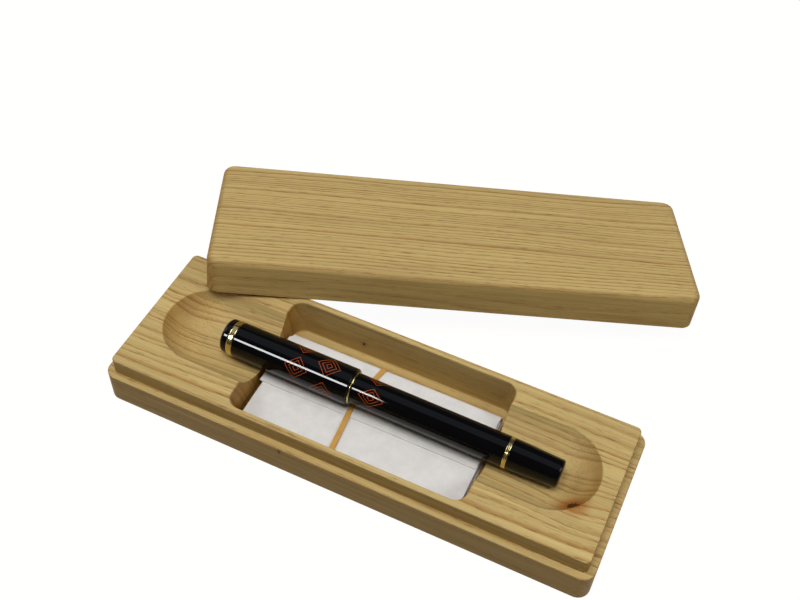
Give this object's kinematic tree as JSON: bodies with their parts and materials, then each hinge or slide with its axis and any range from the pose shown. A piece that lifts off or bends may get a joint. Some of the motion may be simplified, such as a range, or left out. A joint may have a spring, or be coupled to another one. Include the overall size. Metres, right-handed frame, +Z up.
{
  "type": "fountain pen case",
  "caption": "Rounded wooden pen box with its lid off and leaning on its back, a capped fountain pen lying across the tray and a banded bundle of papers under it.",
  "frame": {"origin": "middle of the underside of the tray", "axes": "+X along the tray from the crown of the pen's cap to its tail, +Y from the tray's front to its back where the lid leans, +Z up"},
  "size_m": [0.207, 0.1889, 0.0403],
  "materials": {
    "wood": "satin",
    "sleeve_paper": "matte",
    "sheet_paper": "matte",
    "elastic": "matte",
    "black_lacquer": "gloss",
    "gold_plate": "polished",
    "nib_gold": "polished",
    "black_plastic": "matte",
    "clear_plastic": "gloss",
    "bright_steel": "polished",
    "seal_rubber": "matte"
  },
  "bodies": {
    "tray_body": {"tray": "wood"},
    "lid_body": {"lid": "wood"},
    "papers_body": {"paper_wrapper": "sleeve_paper", "folded_leaflet": "sheet_paper", "elastic_band": "elastic"},
    "pen_body": {"section": "black_lacquer", "section_ring": "gold_plate", "nib": "nib_gold", "feed": "black_plastic", "converter_nozzle": "black_plastic", "converter_tube": "clear_plastic", "converter_band": "bright_steel"},
    "cap_body": {"cap_tube": "black_lacquer", "cap_crown": "black_lacquer", "clip_ring": "gold_plate", "clip": "gold_plate", "inner_cap": "black_plastic"},
    "barrel_body": {"barrel": "black_lacquer", "barrel_front_ring": "gold_plate", "tail_ring": "gold_plate", "barrel_tail": "black_lacquer"},
    "knob_body": {"converter_knob": "black_plastic"},
    "piston_body": {"piston_rod": "bright_steel", "piston_head": "black_plastic", "piston_seal": "seal_rubber"}
  },
  "joints": [
    {"name": "lid_lift", "type": "slide", "parent": "tray_body", "child": "lid_body", "axis": [0, 0, 1], "range_m": [0, 0.12]},
    {"name": "papers_lift", "type": "slide", "parent": "tray_body", "child": "papers_body", "axis": [0, 0, 1], "range_m": [0, 0.06]},
    {"name": "pen_lift", "type": "slide", "parent": "papers_body", "child": "pen_body", "axis": [0, 0, 1], "range_m": [0, 0.085]},
    {"name": "cap_draw", "type": "slide", "parent": "pen_body", "child": "cap_body", "axis": [-0.9999, 0.0058, 0.0095], "range_m": [0, 0.064]},
    {"name": "barrel_draw", "type": "slide", "parent": "pen_body", "child": "barrel_body", "axis": [0.9999, -0.0058, -0.0095], "range_m": [0, 0.077]},
    {"name": "knob_turn", "type": "hinge", "parent": "pen_body", "child": "knob_body", "pos_m": [0.05093, 0.00153, 0.01697], "axis": [-0.9999, 0.0058, 0.0095], "range_deg": [0, 1656]},
    {"name": "piston_draw", "type": "slide", "parent": "pen_body", "child": "piston_body", "axis": [0.9999, -0.0058, -0.0095], "range_m": [0, 0.023]}
  ],
  "couplings": [
    {"joint": "cap_draw", "follows": "pen_lift", "ratio": 0.75},
    {"joint": "barrel_draw", "follows": "pen_lift", "ratio": 0.9},
    {"joint": "knob_turn", "follows": "piston_draw", "rad_per_m": 1256.6}
  ]
}
